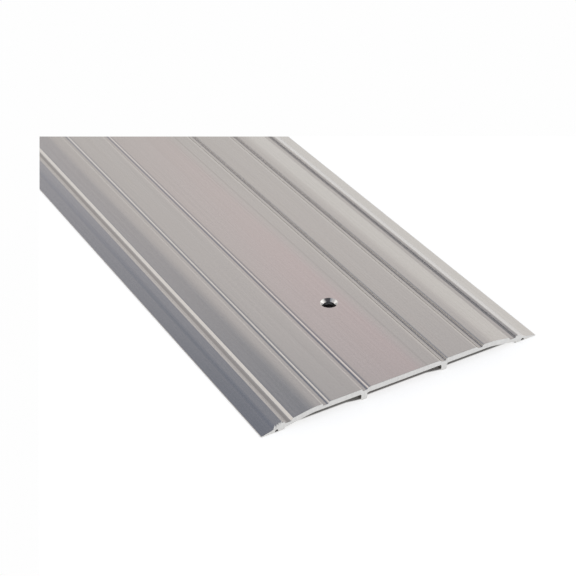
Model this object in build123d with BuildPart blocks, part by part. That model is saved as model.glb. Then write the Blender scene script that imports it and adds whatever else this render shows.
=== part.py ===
"""Low saddle threshold: one wide extruded aluminium strip and the flat-head screws that hold it.

The strip is an arched plate on two legs. Two thin flanges run down to the floor, and six shallow
grooves run along the top. The origin is on the floor plane under the middle of the strip,
with +X across it, +Y along it and +Z up. All sizes are in millimetres.
"""

import os
from math import cos, radians, sin, tan

from build123d import *

# Overall size
WIDTH = 152.4                   # from one flange tip to the other
LENGTH = 914.4
HEIGHT = 6.35                   # from the floor to the flat top

# Plate and legs
WALL = 2.9                      # thickness under the flat top
RAMP_WALL = 3.1                 # thickness under the sloping sides, measured straight down
LEG_OFFSET = 22.2               # from the centre line to the middle of each leg
LEG_THICKNESS = 3.2
LEG_TOE_RADIUS = 0.6
INSIDE_RADIUS = 0.8

# Sloping sides: each inset is measured inwards from the flange tip
SHOULDER_INSET = 26.5           # where the flat top starts to fall
SHOULDER_RADIUS = 28.0
RAMP_EDGE_INSET = 16.45
RAMP_DROP = 1.7                 # from the flat top down to the edge of the slope

# Grooves in the flat top. Each one has an eased lip and a sloping wall on the side of the centre
# line, and a steep wall with an eased lip on the other side.
GROOVE_DEPTH = 1.15
GROOVE_FLOOR = 2.55
GROOVE_SLOPE = 50.0             # of the sloping wall, from level
GROOVE_LEAN = 0.1               # how far the steep wall leans out
INNER_GROOVE_TO_LEG = 3.15      # from the groove's inner edge to the middle of the leg under it
MIDDLE_GROOVE_TO_SHOULDER = 9.6     # from the groove's inner edge to the shoulder
EASED_LIP_WIDTH = 0.74
EASED_LIP_DROP = 0.13
FAR_LIP_WIDTH = 0.68
FAR_LIP_DROP = 0.12
LIP_EASE_RADIUS = 6.0
FAR_LIP_EASE_RADIUS = 4.0
LIP_RADIUS = 0.5
FAR_LIP_RADIUS = 0.35
SLOPE_ROOT_RADIUS = 1.7
ROOT_RADIUS = 0.3

# Outer groove, between the slope and the flange
OUTER_GROOVE_INSET = 12.4       # from the flange tip to the floor's outer edge
OUTER_GROOVE_FLOOR = 2.85
OUTER_GROOVE_DEPTH = 1.45
OUTER_GROOVE_LIP_RADIUS = 0.6
OUTER_GROOVE_ROOT_RADIUS = 0.4

# Flange: a hollow-sided wedge that rises from the tip to a narrow land beside the outer groove
TIP_THICKNESS = 0.6
TIP_RADIUS = 0.25
TIP_TOE_RADIUS = 0.1
BEND_INSET = 6.8                # where the wedge turns steeper
BEND_RISE = 1.55                # from the top of the tip up to the bend
BEND_RADIUS = 9.0
LAND_INSET = 10.8               # where the wedge meets the land
LAND_WIDTH = 1.2
LAND_DROP = 0.4                 # from the edge of the slope down to the land
LAND_TILT = 0.07                # how much lower the land is on the groove's side
LAND_RADIUS = 0.35
FOOT_INSET = 11.9               # inner face of the foot under the land
FOOT_RADIUS = 0.3
RELIEF_INSET = 7.9              # small round-topped relief under the flange
RELIEF_WIDTH = 1.7
RELIEF_HEIGHT = 1.4

# Countersunk holes along the centre line
HOLE_COUNT = 4
HOLE_END = 66.6                 # from the end of the strip to the first hole
HOLE_DIAMETER = 6.1
SINK_DIAMETER = 8.7
SINK_ANGLE = 82.0

# Flat-head wood screws, No. 10
SCREW_LENGTH = 38.1
SHANK_DIAMETER = 4.8
SHANK_LENGTH = 11.0             # smooth part below the head
CORE_DIAMETER = 3.3
THREAD_PITCH = 1.95
POINT_RINGS = 4                 # thread turns that shrink towards the point
HEAD_SINK = 0.1                 # from the flat top down to the top of the head
SEAT_GAP = 0.03                 # between the head's cone and the countersink
RECESS_SPAN = 4.4
RECESS_WIDTH = 1.1
RECESS_DEPTH = 2.2
RECESS_TAPER = 8.0
RECESS_TURN = 37.0              # each screw stopped this much further round than the last

CUT_BELOW = 2.0                 # how far a cut that opens downwards runs past the floor

tip = WIDTH / 2
shoulder = tip - SHOULDER_INSET
underside = HEIGHT - WALL
ramp_edge = tip - RAMP_EDGE_INSET
ramp_edge_height = HEIGHT - RAMP_DROP
ramp_slope = RAMP_DROP / (ramp_edge - shoulder)
hole_pitch = (LENGTH - 2 * HOLE_END) / (HOLE_COUNT - 1)


def groove(start):
    """Corners of a groove in the flat top, from its inner edge out, each with its radius."""
    floor_height = HEIGHT - GROOVE_DEPTH
    lip = start + EASED_LIP_WIDTH
    floor = lip + (GROOVE_DEPTH - EASED_LIP_DROP) / tan(radians(GROOVE_SLOPE))
    far = floor + GROOVE_FLOOR
    far_lip = far + GROOVE_LEAN
    return [
        (start, HEIGHT, LIP_EASE_RADIUS),
        (lip, HEIGHT - EASED_LIP_DROP, LIP_RADIUS),
        (floor, floor_height, SLOPE_ROOT_RADIUS),
        (far, floor_height, ROOT_RADIUS),
        (far_lip, HEIGHT - FAR_LIP_DROP, FAR_LIP_RADIUS),
        (far_lip + FAR_LIP_WIDTH, HEIGHT, FAR_LIP_EASE_RADIUS),
    ]


def right_half():
    """Corners of the outline from the centre line to the right flange tip."""
    outer_floor = tip - OUTER_GROOVE_INSET
    outer_floor_height = ramp_edge_height - OUTER_GROOVE_DEPTH
    land_height = ramp_edge_height - LAND_DROP
    corners = groove(LEG_OFFSET - INNER_GROOVE_TO_LEG)
    corners += groove(shoulder - MIDDLE_GROOVE_TO_SHOULDER)
    corners += [
        (shoulder, HEIGHT, SHOULDER_RADIUS),
        (ramp_edge, ramp_edge_height, OUTER_GROOVE_LIP_RADIUS),
        (outer_floor - OUTER_GROOVE_FLOOR, outer_floor_height, OUTER_GROOVE_ROOT_RADIUS),
        (outer_floor, outer_floor_height, ROOT_RADIUS),
        (tip - LAND_INSET - LAND_WIDTH, land_height - LAND_TILT, LAND_RADIUS),
        (tip - LAND_INSET, land_height, LAND_RADIUS),
        (tip - BEND_INSET, TIP_THICKNESS + BEND_RISE, BEND_RADIUS),
        (tip, TIP_THICKNESS, TIP_RADIUS),
        (tip, 0, TIP_TOE_RADIUS),
    ]
    return corners


def mirrored(corners):
    """The same corners on the other side of the centre line, in drawing order."""
    return [(-x, z, radius) for x, z, radius in reversed(corners)]


def closed_outline(corners):
    """A closed line through the corners, each rounded by its own radius."""
    points = [(x, z) for x, z, radius in corners]
    FilletPolyline(*points, radius=[radius for x, z, radius in corners], close=True)


def side_hollow():
    """Corners of the space between a leg and the foot under the right slope."""
    leg_face = LEG_OFFSET + LEG_THICKNESS / 2
    foot_face = tip - FOOT_INSET
    foot_roof = HEIGHT - ramp_slope * (foot_face - shoulder) - RAMP_WALL
    return [
        (leg_face, -CUT_BELOW, 0),
        (leg_face, underside, INSIDE_RADIUS),
        (shoulder, underside, SHOULDER_RADIUS),
        (foot_face, foot_roof, FOOT_RADIUS),
        (foot_face, -CUT_BELOW, 0),
    ]


def centre_hollow():
    """Corners of the space between the two legs."""
    leg_face = LEG_OFFSET - LEG_THICKNESS / 2
    return [
        (-leg_face, -CUT_BELOW, 0),
        (-leg_face, underside, INSIDE_RADIUS),
        (leg_face, underside, INSIDE_RADIUS),
        (leg_face, -CUT_BELOW, 0),
    ]


def make_plate():
    """The extruded strip with its row of countersunk holes."""
    with BuildPart() as plate:
        with BuildSketch(Plane.XZ) as section:
            with BuildLine():
                closed_outline(mirrored(right_half()) + right_half())
            make_face()
            for hollow in (centre_hollow(), side_hollow(), mirrored(side_hollow())):
                with BuildLine():
                    closed_outline(hollow)
                make_face(mode=Mode.SUBTRACT)
            leg_reach = LEG_OFFSET + LEG_THICKNESS
            toes = section.vertices().filter_by_position(Axis.X, -leg_reach, leg_reach)
            fillet(toes.group_by(Axis.Y)[0], LEG_TOE_RADIUS)
            relief_centre = RELIEF_HEIGHT - RELIEF_WIDTH / 2
            with Locations((RELIEF_INSET - tip, relief_centre), (tip - RELIEF_INSET, relief_centre)):
                Circle(RELIEF_WIDTH / 2, mode=Mode.SUBTRACT)
                Rectangle(
                    RELIEF_WIDTH,
                    relief_centre + CUT_BELOW,
                    align=(Align.CENTER, Align.MAX),
                    mode=Mode.SUBTRACT,
                )
        extrude(amount=LENGTH / 2, both=True)
        with Locations(Plane.XY.offset(HEIGHT)):
            with GridLocations(hole_pitch, hole_pitch, 1, HOLE_COUNT):
                CounterSinkHole(HOLE_DIAMETER / 2, SINK_DIAMETER / 2, counter_sink_angle=SINK_ANGLE)
    return plate.part


def screw_profile():
    """Half outline of a screw below the top of its head: (radius, height), from the axis out."""
    half_angle = radians(SINK_ANGLE / 2)
    head_radius = SINK_DIAMETER / 2 - HEAD_SINK * tan(half_angle) - SEAT_GAP / cos(half_angle)
    shank_radius = SHANK_DIAMETER / 2
    head_height = (head_radius - shank_radius) / tan(half_angle)
    thread_length = SCREW_LENGTH - SHANK_LENGTH - head_height
    ring_count = round(thread_length / THREAD_PITCH)
    ring_height = thread_length / ring_count
    points = [(0, 0), (head_radius, 0), (shank_radius, -head_height)]
    for ring in range(ring_count):
        top = -head_height - SHANK_LENGTH - ring * ring_height
        shrink = min(1.0, (ring_count - ring) / POINT_RINGS)
        points.append((shrink * CORE_DIAMETER / 2, top))
        points.append((shrink * shank_radius, top - ring_height / 2))
    points.append((0, -SCREW_LENGTH))
    return points


def make_screw(place, turn):
    """A flat-head screw seated in the hole at Y = place, with its cross recess turned."""
    head_top = HEIGHT - HEAD_SINK
    with BuildPart() as screw:
        with BuildSketch(Plane((0, place, head_top), x_dir=(1, 0, 0), z_dir=(0, -1, 0))):
            with BuildLine():
                Polyline(*screw_profile(), close=True)
            make_face()
        revolve(axis=Axis((0, place, 0), (0, 0, 1)))
        along = (cos(radians(turn)), sin(radians(turn)), 0)
        with BuildSketch(Plane((0, place, head_top), x_dir=along, z_dir=(0, 0, 1))):
            Rectangle(RECESS_SPAN, RECESS_WIDTH)
            Rectangle(RECESS_WIDTH, RECESS_SPAN)
        extrude(amount=-RECESS_DEPTH, taper=RECESS_TAPER, mode=Mode.SUBTRACT)
    return screw.part


os.makedirs("parts", exist_ok=True)

threshold_plate = make_plate()
threshold_plate.label = "threshold_plate"
export_step(threshold_plate, "parts/threshold_plate.step")

# The hole nearest the -Y end stays open; every other hole holds its screw.
for number in range(1, HOLE_COUNT):
    fixing_screw = make_screw(number * hole_pitch + HOLE_END - LENGTH / 2, number * RECESS_TURN)
    fixing_screw.label = f"fixing_screw_{number}"
    export_step(fixing_screw, f"parts/{fixing_screw.label}.step")
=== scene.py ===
"""Low saddle threshold strip: the finished strip, its screws and a plain studio.

Sizes are in metres, except where a comment says millimetres. Every place is in the frame of the
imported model: the origin is on the floor under the middle of the strip, with +X across it, +Y along
it and +Z up.
"""

import math
import random

import bmesh
import bpy
from mathutils import Euler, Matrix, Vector


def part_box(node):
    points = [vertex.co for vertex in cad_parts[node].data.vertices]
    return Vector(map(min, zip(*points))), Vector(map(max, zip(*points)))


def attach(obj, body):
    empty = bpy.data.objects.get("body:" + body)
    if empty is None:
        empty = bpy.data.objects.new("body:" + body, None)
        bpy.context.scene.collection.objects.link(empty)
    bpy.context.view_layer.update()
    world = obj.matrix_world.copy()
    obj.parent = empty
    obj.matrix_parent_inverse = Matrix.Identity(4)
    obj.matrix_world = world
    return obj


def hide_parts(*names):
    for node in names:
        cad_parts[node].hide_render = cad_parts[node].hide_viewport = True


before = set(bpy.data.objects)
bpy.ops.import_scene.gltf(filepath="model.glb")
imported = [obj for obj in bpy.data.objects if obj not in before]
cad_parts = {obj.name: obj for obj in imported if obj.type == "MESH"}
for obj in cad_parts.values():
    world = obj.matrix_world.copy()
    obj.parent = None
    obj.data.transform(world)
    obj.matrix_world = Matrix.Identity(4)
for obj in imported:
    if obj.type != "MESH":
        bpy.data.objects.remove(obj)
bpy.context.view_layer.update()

bl_info = {
    "name": "Threshold Strip",
    "version": (1, 0, 0),
    "blender": (4, 5, 0),
    "location": "3D View > Sidebar > Threshold",
    "description": "Builds an extruded threshold strip, its fixing screws and a plain studio",
    "category": "Add Mesh",
}

MM = 0.001
PLATE_LOW, PLATE_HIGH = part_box("threshold_plate")
SCREW_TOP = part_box("fixing_screw_1")[1].z


# ------------------------------------------------------------------ small helpers


def srgb(code):
    """Linear colour, with alpha 1, of a six-digit sRGB hex value."""
    channels = [int(code[i : i + 2], 16) / 255 for i in (1, 3, 5)]
    linear = [c / 12.92 if c <= 0.04045 else ((c + 0.055) / 1.055) ** 2.4 for c in channels]
    return (*linear, 1.0)


def add(tree, kind, feeds=None, **settings):
    """Add a node to a tree, set its properties, and set or link its inputs.

    A node given as a feed is linked by its first output.
    """
    node = tree.nodes.new(kind)
    node.location = (190 * len(tree.nodes), 0)
    for name, value in settings.items():
        setattr(node, name, value)
    for socket, source in (feeds or {}).items():
        for each in source if isinstance(source, list) else [source]:
            if isinstance(each, bpy.types.Node):
                each = each.outputs[0]
            if isinstance(each, bpy.types.NodeSocket):
                tree.links.new(each, node.inputs[socket])
            else:
                node.inputs[socket].default_value = each
    return node


def near_line(tree, place, line, full, gone):
    """1 within the distance full of a line, and 0 beyond the distance gone."""
    off = add(tree, "ShaderNodeMath", {0: place, 1: line}, operation="SUBTRACT")
    feeds = {
        "Value": add(tree, "ShaderNodeMath", {0: off}, operation="ABSOLUTE"),
        "From Min": full,
        "From Max": gone,
        "To Min": 1.0,
        "To Max": 0.0,
    }
    return add(tree, "ShaderNodeMapRange", feeds, interpolation_type="SMOOTHSTEP")


def object_place(tree):
    """Places in the object's own space, along X, Y and Z."""
    place = add(tree, "ShaderNodeTexCoord").outputs["Object"]
    return add(tree, "ShaderNodeSeparateXYZ", {0: place}).outputs


def settings_of(context, name):
    """One of the scene's groups of settings."""
    return getattr(context.scene, name)


def new_piece(name, mesh, materials=()):
    """An object at the origin that wears the materials in order."""
    piece = bpy.data.objects.new(name, mesh)
    bpy.context.scene.collection.objects.link(piece)
    for material in materials:
        mesh.materials.append(material)
    return piece


def size_tree(name, **inputs):
    """A new geometry tree with named inputs, given as the labels of each type of socket."""
    tree = bpy.data.node_groups.new(name, "GeometryNodeTree")
    tree.interface.new_socket("Geometry", in_out="INPUT", socket_type="NodeSocketGeometry")
    for kind, labels in inputs.items():
        for label in labels:
            tree.interface.new_socket(label, in_out="INPUT", socket_type=kind)
    tree.interface.new_socket("Geometry", in_out="OUTPUT", socket_type="NodeSocketGeometry")
    return tree


def wear_used(mesh):
    """Drop the material slots that no face uses."""
    worn = sorted({face.material_index for face in mesh.polygons})
    kept = [mesh.materials[index] for index in worn]
    indices = [worn.index(face.material_index) for face in mesh.polygons]
    mesh.materials.clear()
    for material in kept:
        mesh.materials.append(material)
    mesh.polygons.foreach_set("material_index", indices)


def grown(piece, tree, values):
    """Run a geometry tree on a piece and keep the result as the piece's plain mesh."""
    modifier = piece.modifiers.new(tree.name, "NODES")
    modifier.node_group = tree
    for item in tree.interface.items_tree:
        if item.in_out == "INPUT" and item.name in values:
            modifier[item.identifier] = values[item.name]
    graph = bpy.context.evaluated_depsgraph_get()
    mesh = bpy.data.meshes.new_from_object(piece.evaluated_get(graph))
    piece.modifiers.remove(modifier)
    old = piece.data
    piece.data = mesh
    mesh.name = piece.name
    bpy.data.meshes.remove(old)
    wear_used(mesh)
    if not mesh.polygons:
        raise RuntimeError(f"{tree.name} made no faces for {piece.name}")
    return mesh


def crease(bm, angle):
    """Shade smooth, with a sharp edge wherever two faces meet at more than an angle."""
    for face in bm.faces:
        face.smooth = True
    for edge in bm.edges:
        edge.smooth = edge.calc_face_angle(0) < angle


# ------------------------------------------------------------------ finishes


def empty_material(name):
    """A material with no nodes yet, as (material, tree)."""
    material = bpy.data.materials.new(name)
    material.use_nodes = True
    material.node_tree.nodes.clear()
    return material, material.node_tree


def end_in_metal(tree, feeds):
    """End a material in a metallic shader."""
    shader = add(tree, "ShaderNodeBsdfPrincipled", {"Metallic": 1.0, **feeds})
    add(tree, "ShaderNodeOutputMaterial", {"Surface": shader})


def pattern(tree, lengths, detail, turn=(0, 0, 0)):
    """Noise whose marks are so many millimetres long along X, Y and Z."""
    feeds = {
        "Vector": add(tree, "ShaderNodeTexCoord").outputs["Object"],
        "Scale": tuple(1 / (length * MM) for length in lengths),
        "Rotation": turn,
    }
    mapped = add(tree, "ShaderNodeMapping", feeds, vector_type="POINT")
    return add(tree, "ShaderNodeTexNoise", {"Vector": mapped, "Scale": 1.0, "Detail": detail})


def mill_finish(colours):
    """Aluminium as it leaves the extrusion die: satin, with fine die lines along its length."""
    material, tree = empty_material("mill_finish_aluminium")
    # Die lines: real ones are 0.05 to 0.2 mm apart. These are 0.7 mm apart, so that they show.
    lines = pattern(tree, (0.7, 160, 0.7), 3.0)
    # Bearing bands: wider streaks left where the die's land is longer.
    bands = pattern(tree, (5, 500, 5), 2.0)
    # Grain: the etched look of bare aluminium, about 1 mm.
    grain = pattern(tree, (0.9, 1.4, 0.9), 2.0)
    # Cloud: slow drift between a warm and a cool grey, a hand's width long.
    cloud = pattern(tree, (55, 210, 55), 1.0)
    feeds = {"Value": cloud, "From Min": 0.3, "From Max": 0.7, "To Min": 0.35, "To Max": 1.0}
    drift = add(tree, "ShaderNodeMapRange", feeds)
    # A band left of the centre line left the die a shade warmer than the rest. It is strongest
    # over the first hole and fades before the second.
    across, lengthways, _ = object_place(tree)
    middle = near_line(tree, across, -6 * MM, 11 * MM, 20 * MM)
    feeds = {
        "Value": lengthways,
        "From Min": -270 * MM,
        "From Max": -165 * MM,
        "To Min": 1.0,
        "To Max": 0.35,
    }
    first_part = add(tree, "ShaderNodeMapRange", feeds)
    middle = add(tree, "ShaderNodeMath", {0: middle, 1: first_part}, operation="MULTIPLY")
    warm = add(tree, "ShaderNodeMath", {0: drift, 1: middle}, operation="MULTIPLY")
    feeds = {0: warm, 6: colours.cool, 7: colours.warm}
    tint = add(tree, "ShaderNodeMix", feeds, data_type="RGBA").outputs[2]
    streaks = add(tree, "ShaderNodeMath", {0: lines, 1: bands}, operation="ADD")
    streaks = add(tree, "ShaderNodeMath", {0: streaks, 1: grain}, operation="ADD")
    feeds = {"Value": streaks, "From Min": 1.0, "From Max": 2.0, "To Min": 0.93, "To Max": 1.07}
    shade = add(tree, "ShaderNodeMapRange", feeds)
    # Two faint drag lines right of the centre, and painted shade on the floors of the two outer
    # grooves, where their walls shade them, each as (place, where it is full, where it is gone,
    # share of the light lost), in millimetres.
    for line, full, gone, darker in (
        (12.4, 0.2, 0.7, 0.07),
        (8.6, 0.1, 0.5, 0.03),
        (1.7 - OUTER_GROOVE, 0.5, 1.0, 0.3),
        (OUTER_GROOVE - 0.4, 0.2, 0.6, 0.12),
    ):
        mask = near_line(tree, across, line * MM, full * MM, gone * MM)
        dim = add(tree, "ShaderNodeMath", {0: mask, 1: -darker}, operation="MULTIPLY")
        dim = add(tree, "ShaderNodeMath", {0: dim, 1: 1.0}, operation="ADD")
        shade = add(tree, "ShaderNodeMath", {0: shade, 1: dim}, operation="MULTIPLY")
    feeds = {"Value": bands, "From Min": 0.3, "From Max": 0.7, "To Min": 0.20, "To Max": 0.27}
    rough = add(tree, "ShaderNodeMapRange", feeds)
    raised = add(tree, "ShaderNodeMath", {0: lines, 1: grain}, operation="ADD")
    feeds = {"Height": raised, "Strength": 0.25, "Distance": 0.02 * MM}
    end_in_metal(
        tree,
        {
            "Base Color": add(
                tree, "ShaderNodeVectorMath", {0: tint, "Scale": shade}, operation="SCALE"
            ),
            "Roughness": rough,
            "Normal": add(tree, "ShaderNodeBump", feeds),
        },
    )
    return material


def tooled_metal(name, tints, marks, rough, strength, depth):
    """Metal that was cut: its tool marks give its roughness, its height and its second tint."""
    material, tree = empty_material(name)
    marks = pattern(tree, *marks)
    base = tints[0]
    if len(tints) > 1:
        feeds = {0: marks, 6: tints[0], 7: tints[1]}
        base = add(tree, "ShaderNodeMix", feeds, data_type="RGBA").outputs[2]
    feeds = {"Height": marks, "Strength": strength, "Distance": depth}
    bump = add(tree, "ShaderNodeBump", feeds)
    feeds = {"Value": marks, "To Min": rough[0], "To Max": rough[1]}
    roughness = add(tree, "ShaderNodeMapRange", feeds)
    end_in_metal(tree, {"Base Color": base, "Roughness": roughness, "Normal": bump})
    return material


def sawn_finish(colours):
    """Aluminium cut with a fine carbide blade: near white, with faint marks across the cut.

    The marks lean the way that the blade came through. The strip's ends and its burr share it.
    """
    name = "sawn_aluminium"
    return bpy.data.materials.get(name) or tooled_metal(
        name,
        (colours.sawn_low, colours.sawn),
        ((0.9, 30, 6), 3.0, (0, math.radians(28), 0)),
        (0.38, 0.55),
        0.35,
        0.03 * MM,
    )


def drilled_finish(colours):
    """Aluminium turned by a countersink bit: bright, with rings too fine to see singly."""
    return tooled_metal(
        "drilled_aluminium",
        (colours.drilled,),
        ((1.2, 1.2, 0.12), 2.0),
        (0.1, 0.2),
        0.2,
        0.01 * MM,
    )


def turned_finish(colours):
    """Stainless steel screw stock, turned and tumbled: bright grey with fine rings."""
    return tooled_metal(
        "turned_stainless_steel",
        (colours.steel_low, colours.steel),
        ((0.5, 0.5, 0.15), 3.0),
        (0.2, 0.36),
        0.25,
        0.02 * MM,
    )


# ------------------------------------------------------------------ settings


def length_setting(name, about, value, unit="LENGTH"):
    """A size in metres, shown in the scene's own unit."""
    return bpy.props.FloatProperty(
        name=name, description=about, default=value, min=0.0, precision=5, unit=unit
    )


def share_setting(name, about, value):
    """A plain number that isn't below 0."""
    return bpy.props.FloatProperty(name=name, description=about, default=value, min=0)


def angle_setting(name, about, degrees):
    """An angle, given here in degrees."""
    return bpy.props.FloatProperty(
        name=name, description=about, default=math.radians(degrees), subtype="ANGLE"
    )


def count_setting(name, about, value, least):
    """A whole number that isn't below the least."""
    return bpy.props.IntProperty(name=name, description=about, default=value, min=least)


def colour_setting(name, about, code):
    """A colour, given here as its sRGB hex value."""
    return bpy.props.FloatVectorProperty(
        name=name, description=about, default=srgb(code), size=4, min=0, max=1, subtype="COLOR"
    )


class StripSettings(bpy.types.PropertyGroup):
    """Sizes of the extruded strip."""

    width: length_setting(
        "Width", "From one flange tip to the other", PLATE_HIGH.x - PLATE_LOW.x
    )
    length: length_setting("Length", "From one sawn end to the other", PLATE_HIGH.y - PLATE_LOW.y)
    height: length_setting("Height", "From the floor to the flat top", PLATE_HIGH.z - PLATE_LOW.z)
    wall: length_setting("Wall", "Thickness under the flat top", 2.9 * MM)
    groove_depth: length_setting("Groove depth", "Of the grooves in the flat top", 1.15 * MM)
    saw_break: length_setting("Saw break", "Edge taken off the sawn ends by the file", 0.08 * MM)
    hole_count: count_setting("Hole count", "Countersunk holes along the strip", 4, 2)
    hole_end: length_setting("Hole end distance", "From the end to the first hole", 66.6 * MM)
    hole: length_setting("Hole diameter", "Of the plain part of each hole", 6.1 * MM)
    sink: length_setting("Countersink diameter", "At the flat top", 8.7 * MM)
    sink_angle: angle_setting(
        "Countersink angle", "Between opposite sides of the countersink", 82
    )


class BurrSettings(bpy.types.PropertyGroup):
    """The ragged lip that the saw left on one corner of the strip."""

    start: length_setting("Start", "From the flange tip to the burr", 6.2 * MM)
    end: length_setting("End", "From the flange tip to where the burr dies out", 10.5 * MM)
    rise: length_setting("Rise", "Of its highest point above the flange", 1.9 * MM)
    lean: length_setting("Lean", "How far that point is thrown back along the strip", 0.7 * MM)
    root: length_setting("Root thickness", "Where it leaves the flange", 0.5 * MM)
    teeth: count_setting("Teeth", "Torn points along the burr", 3, 2)
    seed: count_setting("Seed", "Draws the torn outline", 4, 0)


class ScrewSettings(bpy.types.PropertyGroup):
    """Sizes of the flat-head wood screws."""

    length: length_setting("Length", "From the top of the head to the point", 38.1 * MM)
    shank: length_setting("Shank diameter", "Of the smooth part and of the thread", 4.8 * MM)
    shank_length: length_setting("Shank length", "Of the smooth part below the head", 11 * MM)
    core: length_setting("Core diameter", "At the root of the thread", 3.3 * MM)
    pitch: length_setting("Thread pitch", "From one turn to the next", 1.95 * MM)
    recess_span: length_setting("Recess span", "Across the arms of the recess", 4.4 * MM)
    recess_width: length_setting("Recess width", "Of each arm of the recess", 1.1 * MM)
    recess_depth: length_setting("Recess depth", "Below the top of the head", 2.2 * MM)
    recess_turn: angle_setting(
        "Recess turn", "How much further round each screw stopped than the last", 37
    )


class FinishSettings(bpy.types.PropertyGroup):
    """Colours of the metals."""

    cool: colour_setting("Mill finish", "Of the strip's skin", "#CAC6C2")
    warm: colour_setting("Warm band", "Of the skin's warmest part", "#D2C5C3")
    sawn: colour_setting("Sawn", "Of the sawn ends and the burr", "#EAE9E7")
    sawn_low: colour_setting("Sawn marks", "Of the marks that the blade left", "#CFCECC")
    drilled: colour_setting("Drilled", "Of the countersunk holes", "#E4E2DF")
    steel: colour_setting("Steel", "Of the screws", "#C4C3C0")
    steel_low: colour_setting("Steel rings", "Of the turned rings on the screws", "#A9A8A6")


class StageSettings(bpy.types.PropertyGroup):
    """The studio around the strip."""

    floor_size: length_setting("Floor size", "Along each side of the floor", 14.0)
    floor_colour: colour_setting("Floor colour", "Of the matt floor", "#CBCBCA")
    floor_lift: share_setting(
        "Floor lift", "How far the open floor is raised towards white where it is seen", 0.72
    )
    side_light: share_setting("Side light", "Radiance of the soft box on the left", 0.2)
    top_light: share_setting("Top light", "Radiance of the soft box overhead", 0.6)
    card_distance: length_setting("Card distance", "From the camera to the mask card", 20 * MM)
    card_left: share_setting("Card left", "Share of the view masked on the left", 0.0686)
    card_top: share_setting("Card top", "Share of the view masked at the top", 0.237)


# ------------------------------------------------------------------ the strip


# The section, in millimetres. Places across it are measured from the centre line.
HALF_WIDTH = (PLATE_HIGH.x - PLATE_LOW.x) / 2 / MM
SHOULDER = HALF_WIDTH - 26.5
SHOULDER_RADIUS = 28.0
RAMP_EDGE = HALF_WIDTH - 16.45
RAMP_DROP = 1.7
RAMP_WALL = 3.1
LEG = 22.2
LEG_HALF = 1.6
OUTER_GROOVE = HALF_WIDTH - 12.4
OUTER_GROOVE_FLOOR = 2.85
OUTER_GROOVE_DEPTH = 1.45
LAND = HALF_WIDTH - 10.8
LAND_WIDTH = 1.2
LAND_DROP = 0.4
LAND_TILT = 0.07
FOOT = HALF_WIDTH - 11.9
FLANGE_BEND = 6.8
FLANGE_BEND_HEIGHT = 2.15
FLANGE_TIP = 0.6
GROOVE_FLOOR = 2.55
GROOVE_SLOPE = math.radians(50)
GROOVE_LEAN = 0.1
EASED_LIP = 0.74
EASED_LIP_DROP = 0.13
FAR_LIP = 0.68
FAR_LIP_DROP = 0.12
INNER_GROOVE_TO_LEG = 3.15
MIDDLE_GROOVE_TO_SHOULDER = 9.6


def groove(start, top, depth):
    """Corners of a groove from its inner lip out: an eased lip, a slope, the floor and a lip."""
    lip = start + EASED_LIP
    floor = lip + (depth - EASED_LIP_DROP) / math.tan(GROOVE_SLOPE)
    far = floor + GROOVE_FLOOR
    return [
        (start, top, 6.0),
        (lip, top - EASED_LIP_DROP, 0.5),
        (floor, top - depth, 1.7),
        (far, top - depth, 0.3),
        (far + GROOVE_LEAN, top - FAR_LIP_DROP, 0.35),
        (far + GROOVE_LEAN + FAR_LIP, top, 4.0),
    ]


def top_corners(strip):
    """Corners along the top from the centre line to the right tip, as (across, height, radius)."""
    top, depth = strip.height / MM, strip.groove_depth / MM
    edge = top - RAMP_DROP
    floor = edge - OUTER_GROOVE_DEPTH
    return [
        *groove(LEG - INNER_GROOVE_TO_LEG, top, depth),
        *groove(SHOULDER - MIDDLE_GROOVE_TO_SHOULDER, top, depth),
        (SHOULDER, top, SHOULDER_RADIUS),
        (RAMP_EDGE, edge, 0.6),
        (OUTER_GROOVE - OUTER_GROOVE_FLOOR, floor, 0.4),
        (OUTER_GROOVE, floor, 0.3),
        (LAND - LAND_WIDTH, edge - LAND_DROP - LAND_TILT, 0.35),
        (LAND, edge - LAND_DROP, 0.35),
        (HALF_WIDTH - FLANGE_BEND, FLANGE_BEND_HEIGHT, 9.0),
        (HALF_WIDTH, FLANGE_TIP, 0.25),
        (HALF_WIDTH, 0, 0.15),
    ]


def underside_corners(strip):
    """Corners along the underside, from the right tip back to the centre line."""
    roof = (strip.height - strip.wall) / MM
    slope = RAMP_DROP / (RAMP_EDGE - SHOULDER)
    foot_roof = strip.height / MM - slope * (FOOT - SHOULDER) - RAMP_WALL
    relief, relief_half, relief_top = HALF_WIDTH - 7.9, 0.85, 1.4
    relief_round = relief_half * 0.999
    return [
        (relief + relief_half, 0, 0),
        (relief + relief_half, relief_top, relief_round),
        (relief - relief_half, relief_top, relief_round),
        (relief - relief_half, 0, 0),
        (FOOT, 0, 0),
        (FOOT, foot_roof, 0.3),
        (SHOULDER, roof, SHOULDER_RADIUS),
        (LEG + LEG_HALF, roof, 0.8),
        (LEG + LEG_HALF, 0, 0.6),
        (LEG - LEG_HALF, 0, 0.6),
        (LEG - LEG_HALF, roof, 0.8),
    ]


def mirrored(corners):
    """The same corners on the other side of the centre line, in the opposite order."""
    return [(-x, z, radius) for x, z, radius in reversed(corners)]


def arc_points(corner, back, ahead, radius):
    """Points along the arc that rounds a corner between two directions."""
    finest, fewest, most = math.radians(6), 6, 12
    half = back.angle(ahead) / 2
    centre = corner + (back + ahead).normalized() * radius / math.sin(half)
    arm = corner + back * radius / math.tan(half) - centre
    sweep = math.pi - 2 * half
    steps = min(most, max(fewest, math.ceil(sweep / finest)))
    side = -1 if back.cross(ahead) > 0 else 1
    points = []
    for step in range(steps + 1):
        turn = side * sweep * step / steps
        cos, sin = math.cos(turn), math.sin(turn)
        points.append(centre + Vector((arm.x * cos - arm.y * sin, arm.x * sin + arm.y * cos)))
    return points


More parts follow.
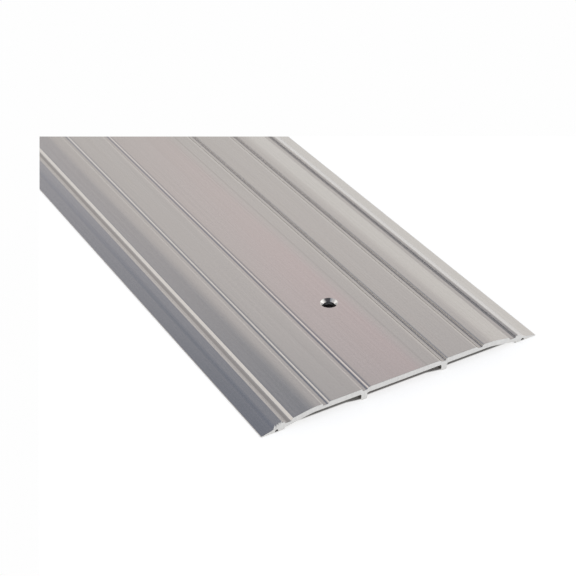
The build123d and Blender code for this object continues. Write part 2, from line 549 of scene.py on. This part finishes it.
def rounded(corners):
    """Points round a closed outline, with an arc in place of each corner that has a radius."""
    count = len(corners)
    arcs = []
    for i, (x, z, radius) in enumerate(corners):
        corner = Vector((x, z))
        back = (Vector(corners[i - 1][:2]) - corner).normalized()
        ahead = (Vector(corners[(i + 1) % count][:2]) - corner).normalized()
        arcs.append(arc_points(corner, back, ahead, radius) if radius else [corner])
    # A point close to each arc keeps its shading off the flat beside it.
    support = 0.25
    points = []
    for i, arc in enumerate(arcs):
        points += arc
        after = arcs[(i + 1) % count][0]
        run = after - arc[-1]
        if run.length > 4 * support:
            points += [arc[-1] + run.normalized() * support, after - run.normalized() * support]
    return points


def section_mesh(strip):
    """The strip's outline as a closed ring of edges in the XY plane, with its height along Y."""
    top, under = top_corners(strip), underside_corners(strip)
    points = rounded(mirrored(top) + top + under + mirrored(under))
    mesh = bpy.data.meshes.new("strip_section")
    ring = [(i, (i + 1) % len(points)) for i in range(len(points))]
    mesh.from_pydata([(p.x * MM, p.y * MM, 0) for p in points], ring, [])
    return mesh


def extruded(tree, given):
    """The section filled and swept along the strip's length, as one closed shell."""
    ring = add(tree, "GeometryNodeMeshToCurve", {"Mesh": given["Geometry"]})
    flat = add(tree, "GeometryNodeFillCurve", {"Curve": ring}, mode="NGONS")
    feeds = {
        "Mesh": flat,
        "Offset": add(tree, "ShaderNodeCombineXYZ", {"Z": 1.0}),
        "Offset Scale": given["Length"],
        "Individual": False,
    }
    swept = add(tree, "GeometryNodeExtrudeMesh", feeds, mode="FACES")
    back = add(tree, "GeometryNodeFlipFaces", {"Mesh": flat})
    shell = add(tree, "GeometryNodeJoinGeometry", {0: [swept, back]})
    welded = add(tree, "GeometryNodeMergeByDistance", {"Geometry": shell, "Distance": 1e-6})
    half = add(tree, "ShaderNodeMath", {0: given["Length"], 1: 0.5}, operation="MULTIPLY")
    feeds = {
        "Geometry": welded,
        "Translation": add(tree, "ShaderNodeCombineXYZ", {"Y": half}),
        "Rotation": (math.pi / 2, 0, 0),
    }
    return add(tree, "GeometryNodeTransform", feeds)


def drill_bits(tree, given):
    """The cone of the countersink and the plain drill, at the height where they cut."""
    around = 96
    # The cone runs a little above the top and a little inside the plain hole.
    over, inside = 0.5 * MM, 0.1 * MM
    feeds = {0: given["Sink Radius"], 1: given["Hole Radius"]}
    spread = add(tree, "ShaderNodeMath", feeds, operation="SUBTRACT")
    slope = add(tree, "ShaderNodeMath", {0: spread, 1: given["Sink Depth"]}, operation="DIVIDE")
    flare = add(tree, "ShaderNodeMath", {0: slope, 1: over}, operation="MULTIPLY")
    top = add(tree, "ShaderNodeMath", {0: given["Sink Radius"], 1: flare}, operation="ADD")
    low = add(tree, "ShaderNodeMath", {0: given["Hole Radius"], 1: inside}, operation="SUBTRACT")
    deep = add(tree, "ShaderNodeMath", {0: top, 1: low}, operation="SUBTRACT")
    deep = add(tree, "ShaderNodeMath", {0: deep, 1: slope}, operation="DIVIDE")
    feeds = {"Vertices": around, "Radius Top": top, "Radius Bottom": low, "Depth": deep}
    cone = add(tree, "GeometryNodeMeshCone", feeds)
    level = add(tree, "ShaderNodeMath", {0: given["Top"], 1: over}, operation="ADD")
    level = add(tree, "ShaderNodeMath", {0: level, 1: deep}, operation="SUBTRACT")
    feeds = {"Geometry": cone, "Translation": add(tree, "ShaderNodeCombineXYZ", {"Z": level})}
    sunk = add(tree, "GeometryNodeTransform", feeds)
    feeds = {
        "Vertices": around,
        "Radius": given["Hole Radius"],
        "Depth": add(tree, "ShaderNodeMath", {0: given["Top"], 1: 2.0}, operation="MULTIPLY"),
    }
    return sunk, add(tree, "GeometryNodeMeshCylinder", feeds)


def strip_tree():
    """Sweeps the section along the strip and drills the row of countersunk holes."""
    tree = size_tree(
        "Extruded Strip",
        NodeSocketFloat=(
            "Length",
            "Top",
            "Hole Pitch",
            "Hole Radius",
            "Sink Radius",
            "Sink Depth",
        ),
        NodeSocketInt=("Hole Count",),
        NodeSocketMaterial=("Skin", "Cut", "Drilled"),
    )
    given = add(tree, "NodeGroupInput").outputs
    feeds = {"Geometry": extruded(tree, given), "Material": given["Skin"]}
    skinned = add(tree, "GeometryNodeSetMaterial", feeds)
    gaps = add(tree, "ShaderNodeMath", {0: given["Hole Count"], 1: 1.0}, operation="SUBTRACT")
    span = add(tree, "ShaderNodeMath", {0: given["Hole Pitch"], 1: gaps}, operation="MULTIPLY")
    first = add(tree, "ShaderNodeMath", {0: span, 1: -0.5}, operation="MULTIPLY")
    feeds = {
        "Count": given["Hole Count"],
        "Start Location": add(tree, "ShaderNodeCombineXYZ", {"Y": first}),
        "Offset": add(tree, "ShaderNodeCombineXYZ", {"Y": given["Hole Pitch"]}),
    }
    places = add(tree, "GeometryNodeMeshLine", feeds)
    bits = []
    for bit in drill_bits(tree, given):
        feeds = {"Points": places, "Instance": bit}
        row = add(tree, "GeometryNodeInstanceOnPoints", feeds)
        solid = add(tree, "GeometryNodeRealizeInstances", {"Geometry": row})
        feeds = {"Geometry": solid, "Material": given["Drilled"]}
        bits.append(add(tree, "GeometryNodeSetMaterial", feeds))
    feeds = {"Mesh 1": skinned, "Mesh 2": bits}
    bored = add(
        tree, "GeometryNodeMeshBoolean", feeds, operation="DIFFERENCE", solver="EXACT"
    )
    real = add(tree, "GeometryNodeRealizeInstances", {"Geometry": bored})
    facing = add(tree, "ShaderNodeSeparateXYZ", {0: add(tree, "GeometryNodeInputNormal")})
    ends = add(tree, "ShaderNodeMath", {0: facing.outputs[1]}, operation="ABSOLUTE")
    is_end = add(tree, "ShaderNodeMath", {0: ends, 1: 0.999}, operation="GREATER_THAN")
    feeds = {"Geometry": real, "Selection": is_end, "Material": given["Cut"]}
    done = add(tree, "GeometryNodeSetMaterial", feeds)
    add(tree, "NodeGroupOutput", {"Geometry": done})
    return tree


def break_sawn_edges(mesh, width):
    """Take a small flat off the edges of both sawn ends, as a file does."""
    bm = bmesh.new()
    bm.from_mesh(mesh)
    ends = [
        edge
        for edge in bm.edges
        if len(edge.link_faces) == 2
        and sorted(abs(face.normal.y) > 0.999 for face in edge.link_faces) == [False, True]
    ]
    bmesh.ops.bevel(
        bm,
        geom=ends,
        offset=width,
        offset_type="OFFSET",
        segments=1,
        profile=0.5,
        affect="EDGES",
        clamp_overlap=False,
        material=-1,
    )
    crease(bm, math.radians(24))
    bm.to_mesh(mesh)
    bm.free()


def hole_pitch(strip):
    """Distance from one hole to the next."""
    return (strip.length - 2 * strip.hole_end) / (strip.hole_count - 1)


class THRESHOLD_OT_strip(bpy.types.Operator):
    """Build the extruded strip with its countersunk holes."""

    bl_idname = "threshold.build_strip"
    bl_label = "Build Strip"

    def execute(self, context):
        strip = settings_of(context, "threshold_strip")
        colours = settings_of(context, "threshold_finish")
        piece = new_piece("strip", section_mesh(strip))
        mesh = grown(
            piece,
            strip_tree(),
            {
                "Length": strip.length,
                "Top": strip.height,
                "Hole Count": strip.hole_count,
                "Hole Pitch": hole_pitch(strip),
                "Hole Radius": strip.hole / 2,
                "Sink Radius": strip.sink / 2,
                "Sink Depth": (strip.sink - strip.hole) / 2 / math.tan(strip.sink_angle / 2),
                "Skin": mill_finish(colours),
                "Cut": sawn_finish(colours),
                "Drilled": drilled_finish(colours),
            },
        )
        break_sawn_edges(mesh, strip.saw_break)
        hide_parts("threshold_plate")
        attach(piece, "root")
        return {"FINISHED"}


def flange_height(strip, inset):
    """Height of the flange's top, in metres, at a distance in millimetres from the left tip."""
    tip = (0, FLANGE_TIP)
    bend = (FLANGE_BEND, FLANGE_BEND_HEIGHT)
    land = (HALF_WIDTH - LAND, strip.height / MM - RAMP_DROP - LAND_DROP)
    low, high = (tip, bend) if inset < FLANGE_BEND else (bend, land)
    share = min(1.0, (inset - low[0]) / (high[0] - low[0]))
    return (low[1] + share * (high[1] - low[1])) * MM


def burr_mesh(strip, burr):
    """A thin torn sheet that rises from the end of the left flange and curls back over it."""
    rng = random.Random(burr.seed)
    per_tooth, levels = 4, 4
    sunk, clear = 0.25 * MM, 0.02 * MM
    columns = per_tooth * burr.teeth
    bm = bmesh.new()
    front, rear = [], []
    for column in range(columns + 1):
        along = column / columns
        inset = burr.start + (burr.end - burr.start) * along
        ground = flange_height(strip, inset / MM) - sunk
        # Each torn point is a tooth; the burr is tallest where the saw left the flange.
        notch = abs((column + 2) % per_tooth - 2) / 2
        tall = (1 - 0.5 * along) * (1 - 0.75 * notch * rng.uniform(0.7, 1.0))
        tall *= rng.uniform(0.9, 1.0)
        for sheet, side in ((front, 0), (rear, 1)):
            row = []
            for level in range(levels + 1):
                up = level / levels
                thick = burr.root * (1 - 0.85 * up) * side
                x = inset + burr.rise * 0.55 * up * (1 - along)
                y = clear + burr.lean * tall * up**3 + thick
                z = ground + (sunk + burr.rise * tall) * up
                row.append(bm.verts.new((x - strip.width / 2, y - strip.length / 2, z)))
            sheet.append(row)
    for a, b in zip(range(columns), range(1, columns + 1)):
        for k in range(levels):
            bm.faces.new((front[a][k], front[b][k], front[b][k + 1], front[a][k + 1]))
            bm.faces.new((rear[b][k], rear[a][k], rear[a][k + 1], rear[b][k + 1]))
        bm.faces.new((front[a][-1], front[b][-1], rear[b][-1], rear[a][-1]))
        bm.faces.new((rear[a][0], rear[b][0], front[b][0], front[a][0]))
    for k in range(levels):
        bm.faces.new((rear[0][k], front[0][k], front[0][k + 1], rear[0][k + 1]))
        bm.faces.new((front[-1][k], rear[-1][k], rear[-1][k + 1], front[-1][k + 1]))
    bmesh.ops.recalc_face_normals(bm, faces=bm.faces)
    crease(bm, math.radians(35))
    mesh = bpy.data.meshes.new("saw_burr")
    bm.to_mesh(mesh)
    bm.free()
    return mesh


class THRESHOLD_OT_burr(bpy.types.Operator):
    """Raise the saw's burr on the near corner of the left flange."""

    bl_idname = "threshold.build_burr"
    bl_label = "Build Saw Burr"

    def execute(self, context):
        strip = settings_of(context, "threshold_strip")
        burr = settings_of(context, "threshold_burr")
        colours = settings_of(context, "threshold_finish")
        piece = new_piece("saw_burr", burr_mesh(strip, burr), [sawn_finish(colours)])
        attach(piece, "root")
        return {"FINISHED"}


# ------------------------------------------------------------------ the screws


def screw_rows(strip, screw):
    """Rings of the screw from the head down, each as a list of (radius, depth) round it."""
    around, per_turn, taper_turns = 36, 10, 4
    seat_gap, head_sink = 0.03 * MM, 0.1 * MM
    half = strip.sink_angle / 2
    head = strip.sink / 2 - head_sink * math.tan(half) - seat_gap / math.cos(half)
    shank, core = screw.shank / 2, screw.core / 2
    head_height = (head - shank) / math.tan(half)
    thread_top = head_height + screw.shank_length
    turns = round((screw.length - thread_top) / screw.pitch)
    pitch = (screw.length - thread_top) / turns
    # The head's rim, the eased neck under it, and the smooth shank.
    plain = (
        (head - 0.12 * MM, 0),
        (head, 0.1 * MM),
        (shank + 0.15 * MM, head_height - 0.13 * MM),
        (shank, head_height + 0.25 * MM),
        (shank, thread_top - 0.3 * MM),
    )
    rows = [[ring] * around for ring in plain]
    for step in range(turns * per_turn):
        depth = thread_top + (step + 0.5) * pitch / per_turn
        shrink = min(1.0, (screw.length - depth) / pitch / taper_turns)
        grow = min(1.0, (depth - thread_top) / pitch)
        root = core + (shank - core) * (1 - grow) * 0.6
        row = []
        for i in range(around):
            phase = (step / per_turn - i / around) % 1.0
            # A sharp crest about half the turn wide at its foot, on a plain round core.
            crest = max(0.0, 1 - abs(phase - 0.5) / 0.28)
            row.append((shrink * (root + (shank - root) * crest), depth))
        rows.append(row)
    return rows


def screw_mesh(strip, screw):
    """One screw with its head's top at the origin and its point down, before its recess."""
    bm = bmesh.new()
    made = []
    for row in screw_rows(strip, screw):
        ring = []
        for i, (radius, depth) in enumerate(row):
            turn = 2 * math.pi * i / len(row)
            ring.append(bm.verts.new((radius * math.cos(turn), radius * math.sin(turn), -depth)))
        made.append(ring)
    top = bm.verts.new((0, 0, 0))
    point = bm.verts.new((0, 0, -screw.length))
    around = len(made[0])
    for i in range(around):
        j = (i + 1) % around
        bm.faces.new((top, made[0][i], made[0][j]))
        for upper, lower in zip(made, made[1:]):
            bm.faces.new((upper[i], lower[i], lower[j], upper[j]))
        bm.faces.new((made[-1][j], made[-1][i], point))
    bmesh.ops.recalc_face_normals(bm, faces=bm.faces)
    mesh = bpy.data.meshes.new("screw")
    bm.to_mesh(mesh)
    bm.free()
    return mesh


def recess_arm(tree, x, y, deep):
    """One arm of the cross recess. It narrows towards the bottom, as the driver's tip does."""
    size = add(tree, "ShaderNodeCombineXYZ", {0: x, 1: y, 2: deep})
    bar = add(tree, "GeometryNodeMeshCube", {"Size": size})
    place = add(tree, "ShaderNodeSeparateXYZ", {0: add(tree, "GeometryNodeInputPosition")})
    x, y, z = place.outputs
    level = add(tree, "ShaderNodeMath", {0: z, 1: deep}, operation="DIVIDE")
    narrow = add(tree, "ShaderNodeMath", {0: level, 1: 0.34}, operation="MULTIPLY")
    narrow = add(tree, "ShaderNodeMath", {0: narrow, 1: 0.92}, operation="ADD")
    x = add(tree, "ShaderNodeMath", {0: x, 1: narrow}, operation="MULTIPLY")
    y = add(tree, "ShaderNodeMath", {0: y, 1: narrow}, operation="MULTIPLY")
    shape = add(tree, "ShaderNodeCombineXYZ", {0: x, 1: y, 2: z})
    return add(tree, "GeometryNodeSetPosition", {"Geometry": bar, "Position": shape})


def screw_tree():
    """Cuts the cross recess and seats a screw in each hole but the first."""
    tree = size_tree(
        "Seated Screws",
        NodeSocketInt=("Count",),
        NodeSocketFloat=(
            "First",
            "Pitch",
            "Seat",
            "Turn",
            "Recess Span",
            "Recess Width",
            "Recess Depth",
        ),
        NodeSocketMaterial=("Steel",),
    )
    given = add(tree, "NodeGroupInput").outputs
    # The recess is cut by two bars, half of which stand above the head.
    deep = add(tree, "ShaderNodeMath", {0: given["Recess Depth"], 1: 2.0}, operation="MULTIPLY")
    span, width = given["Recess Span"], given["Recess Width"]
    arms = [recess_arm(tree, x, y, deep) for x, y in ((span, width), (width, span))]
    feeds = {"Mesh 1": given["Geometry"], "Mesh 2": arms}
    cut = add(tree, "GeometryNodeMeshBoolean", feeds, operation="DIFFERENCE", solver="EXACT")
    feeds = {
        "Count": given["Count"],
        "Start Location": add(
            tree, "ShaderNodeCombineXYZ", {"Y": given["First"], "Z": given["Seat"]}
        ),
        "Offset": add(tree, "ShaderNodeCombineXYZ", {"Y": given["Pitch"]}),
    }
    places = add(tree, "GeometryNodeMeshLine", feeds)
    feeds = {0: add(tree, "GeometryNodeInputIndex"), 1: 1.0}
    number = add(tree, "ShaderNodeMath", feeds, operation="ADD")
    turn = add(tree, "ShaderNodeMath", {0: number, 1: given["Turn"]}, operation="MULTIPLY")
    turned = add(tree, "ShaderNodeCombineXYZ", {"Z": turn})
    feeds = {
        "Points": places,
        "Instance": cut,
        "Rotation": add(tree, "FunctionNodeEulerToRotation", {0: turned}),
    }
    row = add(tree, "GeometryNodeInstanceOnPoints", feeds)
    real = add(tree, "GeometryNodeRealizeInstances", {"Geometry": row})
    feeds = {"Geometry": real, "Material": given["Steel"]}
    steel = add(tree, "GeometryNodeSetMaterial", feeds)
    add(tree, "NodeGroupOutput", {"Geometry": steel})
    return tree


class THRESHOLD_OT_screws(bpy.types.Operator):
    """Seat a flat-head wood screw in every hole but the first."""

    bl_idname = "threshold.build_screws"
    bl_label = "Build Screws"

    def execute(self, context):
        strip = settings_of(context, "threshold_strip")
        screw = settings_of(context, "threshold_screw")
        colours = settings_of(context, "threshold_finish")
        piece = new_piece("screws", screw_mesh(strip, screw))
        mesh = grown(
            piece,
            screw_tree(),
            {
                "Count": strip.hole_count - 1,
                "First": strip.hole_end + hole_pitch(strip) - strip.length / 2,
                "Pitch": hole_pitch(strip),
                "Seat": SCREW_TOP,
                "Turn": screw.recess_turn,
                "Recess Span": screw.recess_span,
                "Recess Width": screw.recess_width,
                "Recess Depth": screw.recess_depth,
                "Steel": turned_finish(colours),
            },
        )
        bm = bmesh.new()
        bm.from_mesh(mesh)
        crease(bm, math.radians(35))
        bm.to_mesh(mesh)
        bm.free()
        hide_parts("fixing_screw_1", "fixing_screw_2", "fixing_screw_3")
        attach(piece, "root")
        return {"FINISHED"}


# ------------------------------------------------------------------ the stage


def stage_object(name, corners, material):
    """A flat card that isn't part of the object."""
    mesh = bpy.data.meshes.new(name)
    mesh.from_pydata(corners, [], [tuple(range(len(corners)))])
    card = new_piece(name, mesh, [material])
    return card


def reach_under(tree, across, sideways):
    """How far the floor's lift to white reaches in under the end of the strip, at a place across it.

    Beyond that reach the floor keeps painted shade. The reach is less under the flanges, and left of
    each leg, where it paints the leg's shadow.
    """
    open_reach, flange_reach = 2.2 * MM, 0.2 * MM
    shadow_width, shadow_depth = 7, 1.3 * MM
    feeds = {
        "Value": sideways,
        "From Min": (HALF_WIDTH - 13) * MM,
        "From Max": (HALF_WIDTH - 12) * MM,
        "To Min": open_reach,
        "To Max": flange_reach,
    }
    reach = add(tree, "ShaderNodeMapRange", feeds)
    for leg in (-LEG, LEG):
        feeds = {
            "Value": across,
            "From Min": (leg - LEG_HALF - shadow_width) * MM,
            "From Max": (leg - LEG_HALF) * MM,
            "To Max": shadow_depth,
        }
        shadow = add(tree, "ShaderNodeMapRange", feeds)
        left = add(tree, "ShaderNodeMath", {0: across, 1: leg * MM}, operation="LESS_THAN")
        shadow = add(tree, "ShaderNodeMath", {0: shadow, 1: left}, operation="MULTIPLY")
        reach = add(tree, "ShaderNodeMath", {0: reach, 1: shadow}, operation="SUBTRACT")
    return reach


def floor_paint(stage, strip):
    """Matt white floor. Where open it is lifted to white for the camera and for reflections.

    Under the strip the lift is held back, which paints the shade there.
    """
    material, tree = empty_material("matt_white_floor")
    across, lengthways, _ = object_place(tree)
    sideways = add(tree, "ShaderNodeMath", {0: across}, operation="ABSOLUTE")
    feeds = {0: sideways, 1: strip.width / 2}
    past_side = add(tree, "ShaderNodeMath", feeds, operation="GREATER_THAN")
    lengthways = add(tree, "ShaderNodeMath", {0: lengthways}, operation="ABSOLUTE")
    feeds = {0: lengthways, 1: reach_under(tree, across, sideways)}
    feeds = {
        "Value": add(tree, "ShaderNodeMath", feeds, operation="ADD"),
        "From Min": strip.length / 2 - 0.5 * MM,
        "From Max": strip.length / 2 + 0.2 * MM,
    }
    past_end = add(tree, "ShaderNodeMapRange", feeds)
    feeds = {0: past_side, 1: past_end}
    open_floor = add(tree, "ShaderNodeMath", feeds, operation="MAXIMUM")
    ray = add(tree, "ShaderNodeLightPath").outputs
    seen = ray["Is Camera Ray"]
    for other in ("Is Glossy Ray", "Is Transmission Ray"):
        seen = add(tree, "ShaderNodeMath", {0: seen, 1: ray[other]}, operation="MAXIMUM")
    lift = add(tree, "ShaderNodeMath", {0: seen, 1: open_floor}, operation="MULTIPLY")
    lift = add(tree, "ShaderNodeMath", {0: lift, 1: stage.floor_lift}, operation="MULTIPLY")
    paint = add(tree, "ShaderNodeBsdfDiffuse", {"Color": stage.floor_colour})
    glow = add(tree, "ShaderNodeEmission", {"Color": srgb("#FFFFFF"), "Strength": lift})
    both = add(tree, "ShaderNodeAddShader", {0: paint, 1: glow})
    add(tree, "ShaderNodeOutputMaterial", {"Surface": both})
    return material


# Colour of the studio by height, as (sine of the angle above the floor, colour). They are the white
# wall that darkens to the ceiling, its shaded corner behind the strip's far end, the low window on
# the left, the blue-grey drape beside it, the bright key wall on the right, and the dark room
# behind the camera.
STUDIO_WALL = (
    (0.02, (0.86, 0.86, 0.86)),
    (0.16, (0.96, 0.96, 0.95)),
    (0.26, (0.98, 0.98, 0.97)),
    (0.34, (0.95, 0.94, 0.93)),
    (0.50, (0.86, 0.84, 0.83)),
    (0.56, (0.83, 0.80, 0.80)),
    (0.61, (0.71, 0.69, 0.70)),
    (0.66, (0.54, 0.54, 0.56)),
    (0.72, (0.34, 0.37, 0.42)),
    (0.76, (0.20, 0.23, 0.30)),
)
STUDIO_CORNER = (
    (0.02, (0.86, 0.86, 0.86)),
    (0.20, (0.96, 0.96, 0.95)),
    (0.32, (0.86, 0.85, 0.84)),
    (0.42, (0.70, 0.69, 0.68)),
    (0.49, (0.77, 0.75, 0.745)),
    (0.56, (0.83, 0.80, 0.80)),
    (0.61, (0.71, 0.69, 0.70)),
    (0.66, (0.54, 0.54, 0.56)),
    (0.72, (0.34, 0.37, 0.42)),
    (0.76, (0.20, 0.23, 0.30)),
)
STUDIO_WINDOW = (
    (0.12, (1.0, 1.0, 1.0)),
    (0.22, (1.25, 1.24, 1.22)),
    (0.28, (1.15, 1.13, 1.12)),
    (0.35, (1.02, 1.00, 0.98)),
    (0.42, (0.80, 0.78, 0.77)),
    (0.50, (0.66, 0.65, 0.65)),
    (0.62, (0.45, 0.45, 0.48)),
    (0.72, (0.28, 0.30, 0.36)),
)
STUDIO_BACK = (
    (0.30, (0.90, 0.90, 0.89)),
    (0.50, (0.20, 0.20, 0.21)),
    (0.70, (0.07, 0.07, 0.08)),
)
STUDIO_KEY = (
    (0.30, (1.35, 1.34, 1.33)),
    (0.55, (0.80, 0.79, 0.79)),
    (0.76, (0.20, 0.23, 0.30)),
)
STUDIO_DRAPE = (
    (0.36, (0.90, 0.90, 0.90)),
    (0.47, (0.62, 0.62, 0.66)),
    (0.545, (0.47, 0.49, 0.56)),
    (0.60, (0.41, 0.43, 0.50)),
    (0.65, (0.33, 0.36, 0.42)),
    (0.70, (0.25, 0.28, 0.35)),
    (0.74, (0.17, 0.20, 0.28)),
)
# Edges as (from, to), in degrees from +Y towards +X, over which each one gives way to the next. The
# room starts behind the camera.
STUDIO_EDGES = (
    ((-134, -124), STUDIO_WALL),
    ((-84, -70), STUDIO_WINDOW),
    ((-28, -24), STUDIO_DRAPE),
    ((3, 13), STUDIO_CORNER),
    ((20, 35), STUDIO_WALL),
    ((62, 75), STUDIO_KEY),
    ((134, 146), STUDIO_BACK),
)


def by_height(tree, level, stops):
    """Colour read from a list of stops at a level."""
    ramp = add(tree, "ShaderNodeValToRGB", {"Fac": level})
    elements = ramp.color_ramp.elements
    for i, (height, colour) in enumerate(stops):
        stop = elements[i] if i < 2 else elements.new(height)
        stop.position = height
        stop.color = (*colour, 1)
    return ramp


def studio_world():
    """White walls under a blue-grey ceiling, with a drape. The camera itself sees white."""
    world = bpy.data.worlds.new("studio")
    bpy.context.scene.world = world
    world.use_nodes = True
    tree = world.node_tree
    tree.nodes.clear()
    way = add(tree, "ShaderNodeTexCoord").outputs["Generated"]
    x, y, z = add(tree, "ShaderNodeSeparateXYZ", {0: way}).outputs
    round_from_y = add(tree, "ShaderNodeMath", {0: x, 1: y}, operation="ARCTAN2")
    colour = by_height(tree, z, STUDIO_BACK)
    for (start, end), stops in STUDIO_EDGES:
        feeds = {
            "Value": round_from_y,
            "From Min": math.radians(start),
            "From Max": math.radians(end),
        }
        past = add(tree, "ShaderNodeMapRange", feeds, interpolation_type="SMOOTHSTEP")
        feeds = {0: past, 6: colour, 7: by_height(tree, z, stops)}
        colour = add(tree, "ShaderNodeMix", feeds, data_type="RGBA").outputs[2]
    ray = add(tree, "ShaderNodeLightPath")
    room = add(tree, "ShaderNodeBackground", {"Color": colour, "Strength": 1.0})
    white = add(tree, "ShaderNodeBackground", {"Color": srgb("#FFFFFF"), "Strength": 1.0})
    feeds = {0: ray.outputs["Is Camera Ray"], 1: room, 2: white}
    mixed = add(tree, "ShaderNodeMixShader", feeds)
    add(tree, "ShaderNodeOutputWorld", {"Surface": mixed})


def soft_box(name, place, size, radiance):
    """A rectangular lamp that faces the strip's near half."""
    lamp = bpy.data.lights.new(name, "AREA")
    lamp.shape = "RECTANGLE"
    lamp.size, lamp.size_y = size
    lamp.energy = radiance * math.pi * size[0] * size[1]
    holder = bpy.data.objects.new(name, lamp)
    holder.location = place
    aim = Vector((0, -0.35, 0)) - Vector(place)
    holder.rotation_euler = aim.to_track_quat("-Z", "Y").to_euler()
    holder.visible_camera = False
    bpy.context.scene.collection.objects.link(holder)
    return holder


def card_paint():
    """White for the camera and clear for every other ray, so that it casts and reflects nothing."""
    material, tree = empty_material("white_mask_card")
    ray = add(tree, "ShaderNodeLightPath")
    clear = add(tree, "ShaderNodeBsdfTransparent")
    white = add(tree, "ShaderNodeEmission", {"Color": srgb("#FEFEFE"), "Strength": 1.0})
    feeds = {0: ray.outputs["Is Camera Ray"], 1: clear, 2: white}
    both = add(tree, "ShaderNodeMixShader", feeds)
    add(tree, "ShaderNodeOutputMaterial", {"Surface": both})
    return material


def mask_card(camera, stage):
    """An L-shaped card close to the camera that ends the view along two straight lines."""
    away = stage.card_distance
    half = away * camera.data.sensor_width / 2 / camera.data.lens
    left = -half + 2 * half * stage.card_left
    top = half - 2 * half * stage.card_top
    far = 1.2 * half
    corners = [(-far, -far), (left, -far), (left, top), (far, top), (far, far), (-far, far)]
    place = camera.matrix_basis
    stage_object("mask_card", [place @ Vector((x, y, -away)) for x, y in corners], card_paint())


class THRESHOLD_OT_stage(bpy.types.Operator):
    """Build the floor, the light and the camera."""

    bl_idname = "threshold.build_stage"
    bl_label = "Build Stage"

    def execute(self, context):
        strip = settings_of(context, "threshold_strip")
        stage = settings_of(context, "threshold_stage")
        half = stage.floor_size / 2
        stage_object(
            "floor",
            [(-half, -half, 0), (half, -half, 0), (half, half, 0), (-half, half, 0)],
            floor_paint(stage, strip),
        )
        studio_world()
        soft_box("side_soft_box", (-2.0, 1.4, 1.6), (1.1, 1.1), stage.side_light)
        soft_box("top_soft_box", (0.0, -0.2, 2.4), (1.6, 1.6), stage.top_light)
        camera = bpy.data.cameras.new("camera")
        camera.lens = 92.446
        camera.sensor_width = 36
        camera.clip_start = 5 * MM
        holder = bpy.data.objects.new("camera", camera)
        holder.location = (-0.32147, -0.89785, 0.41740)
        holder.rotation_euler = Euler((math.radians(56.168), 0, math.radians(-30.440)))
        context.scene.collection.objects.link(holder)
        context.scene.camera = holder
        mask_card(holder, stage)
        context.scene.view_settings.view_transform = "Standard"
        return {"FINISHED"}


PANEL_ROWS = (
    ("threshold_finish", None),
    ("threshold_strip", THRESHOLD_OT_strip.bl_idname),
    ("threshold_burr", THRESHOLD_OT_burr.bl_idname),
    ("threshold_screw", THRESHOLD_OT_screws.bl_idname),
    ("threshold_stage", THRESHOLD_OT_stage.bl_idname),
)


class THRESHOLD_PT_panel(bpy.types.Panel):
    """Lists the parts of the threshold strip."""

    bl_label = "Threshold Strip"
    bl_idname = "THRESHOLD_PT_panel"
    bl_space_type = "VIEW_3D"
    bl_region_type = "UI"
    bl_category = "Threshold"

    def draw(self, context):
        for group, operator in PANEL_ROWS:
            box = self.layout.box()
            settings = settings_of(context, group)
            for name in settings.bl_rna.properties.keys():
                if name not in ("rna_type", "name"):
                    box.prop(settings, name)
            if operator:
                box.operator(operator)


GROUPS = {
    "threshold_finish": FinishSettings,
    "threshold_strip": StripSettings,
    "threshold_burr": BurrSettings,
    "threshold_screw": ScrewSettings,
    "threshold_stage": StageSettings,
}
CLASSES = (
    *GROUPS.values(),
    THRESHOLD_OT_strip,
    THRESHOLD_OT_burr,
    THRESHOLD_OT_screws,
    THRESHOLD_OT_stage,
    THRESHOLD_PT_panel,
)


def register():
    """Add the classes and the scene's settings."""
    for each in CLASSES:
        bpy.utils.register_class(each)
    for name, group in GROUPS.items():
        setattr(bpy.types.Scene, name, bpy.props.PointerProperty(type=group))


def unregister():
    """Remove the settings and the classes."""
    for name in GROUPS:
        delattr(bpy.types.Scene, name)
    for each in reversed(CLASSES):
        bpy.utils.unregister_class(each)


def main():
    """Build everything."""
    register()
    bpy.ops.threshold.build_strip()
    bpy.ops.threshold.build_burr()
    bpy.ops.threshold.build_screws()
    bpy.ops.threshold.build_stage()


if __name__ == "__main__":
    main()
